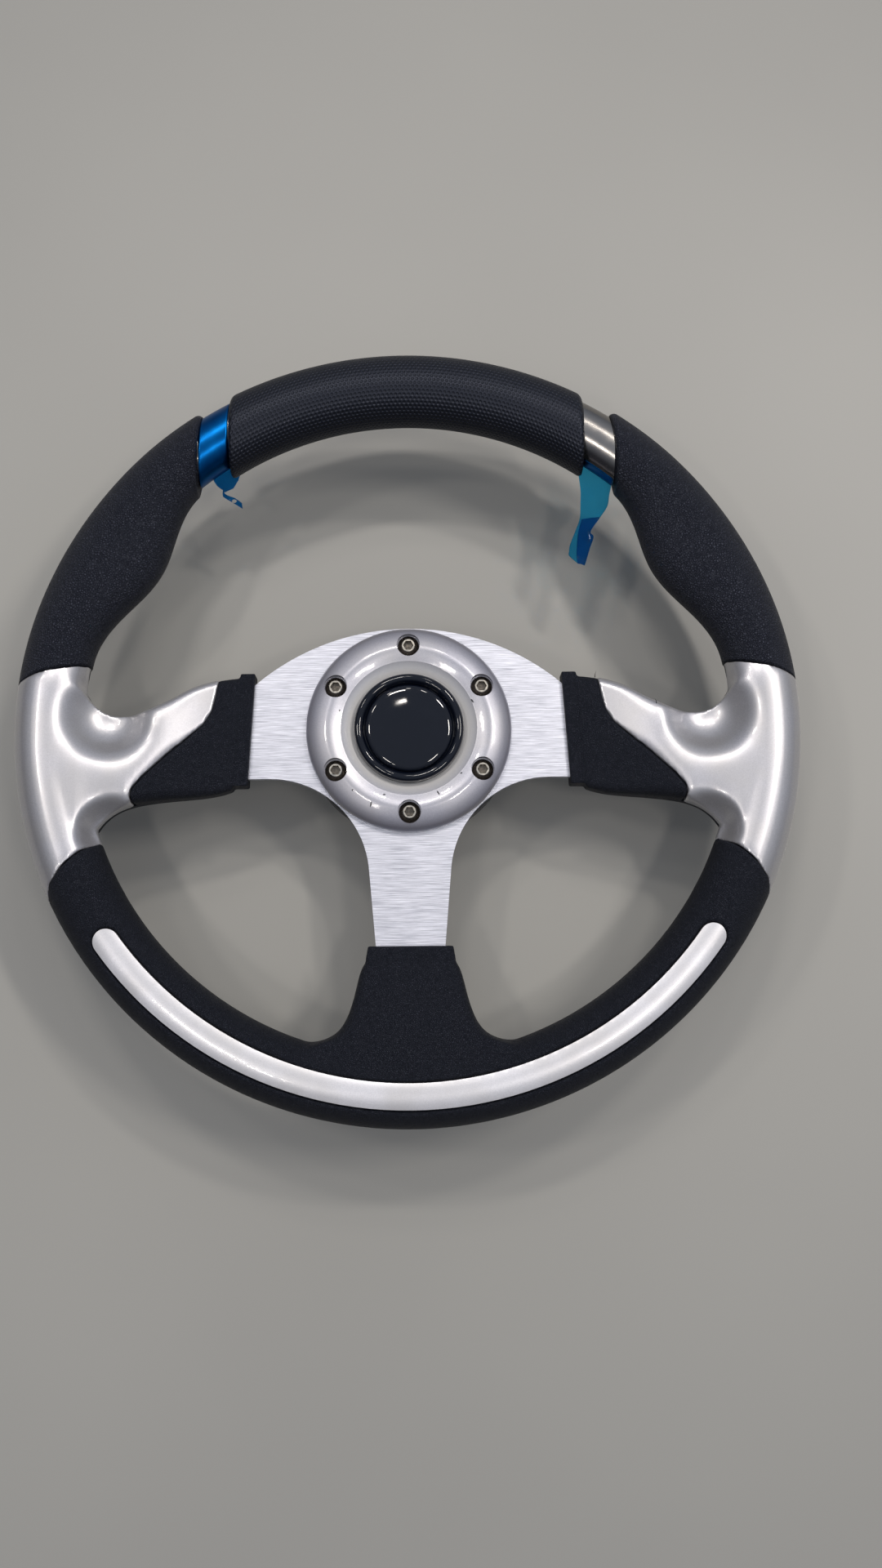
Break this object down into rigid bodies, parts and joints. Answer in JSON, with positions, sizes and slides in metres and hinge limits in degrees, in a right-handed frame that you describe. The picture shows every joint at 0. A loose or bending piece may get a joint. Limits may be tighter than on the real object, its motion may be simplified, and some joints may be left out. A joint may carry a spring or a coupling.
{
  "type": "boat steering wheel",
  "caption": "Round sports-style boat steering wheel with a flat brushed spoke plate, padded grips, silver side shells, a domed horn push and a tapered hub boss.",
  "frame": {"origin": "centre of the hub boss's flat back face, which the wheel lies on", "axes": "+Z along the steering shaft towards the driver, +Y to twelve o'clock, +X to the driver's right"},
  "size_m": [0.343, 0.343, 0.0662],
  "materials": {
    "brushed_aluminium": "brushed, clear coated",
    "plain_steel": "zinc plated",
    "black_foam": "moulded leather grain",
    "polished_steel": "polished",
    "blue_film": "clear tinted film",
    "silver_paint": "pearl silver paint under clear coat",
    "screw_steel": "dark nickel",
    "black_gloss": "high gloss",
    "black_matt": "matt",
    "brass": "bright",
    "black_metal": "satin black"
  },
  "bodies": {
    "wheel": {"spoke_plate": "brushed_aluminium", "rim_bar": "plain_steel", "spoke_rivets": "plain_steel", "top_grip": "black_foam", "left_grip": "black_foam", "right_grip": "black_foam", "left_boot": "black_foam", "right_boot": "black_foam", "lower_rim": "black_foam", "left_band": "polished_steel", "right_band": "polished_steel", "left_film": "blue_film", "right_film": "blue_film", "left_shell": "silver_paint", "right_shell": "silver_paint", "lower_inlay": "silver_paint", "hub_trim": "silver_paint", "hub_screws": "screw_steel", "horn_bezel": "black_gloss", "horn_base": "black_matt", "horn_spring": "plain_steel", "horn_terminals": "brass", "hub_boss": "black_metal"},
    "push": {"horn_push": "black_gloss", "contact_plate": "brass"}
  },
  "joints": [
    {"name": "horn_press", "type": "slide", "parent": "wheel", "child": "push", "axis": [0, 0, -1], "range_m": [0, 0.002], "stiffness_N_per_m": 1500, "springref_m": -0.001, "deforming": ["horn_spring"]}
  ]
}
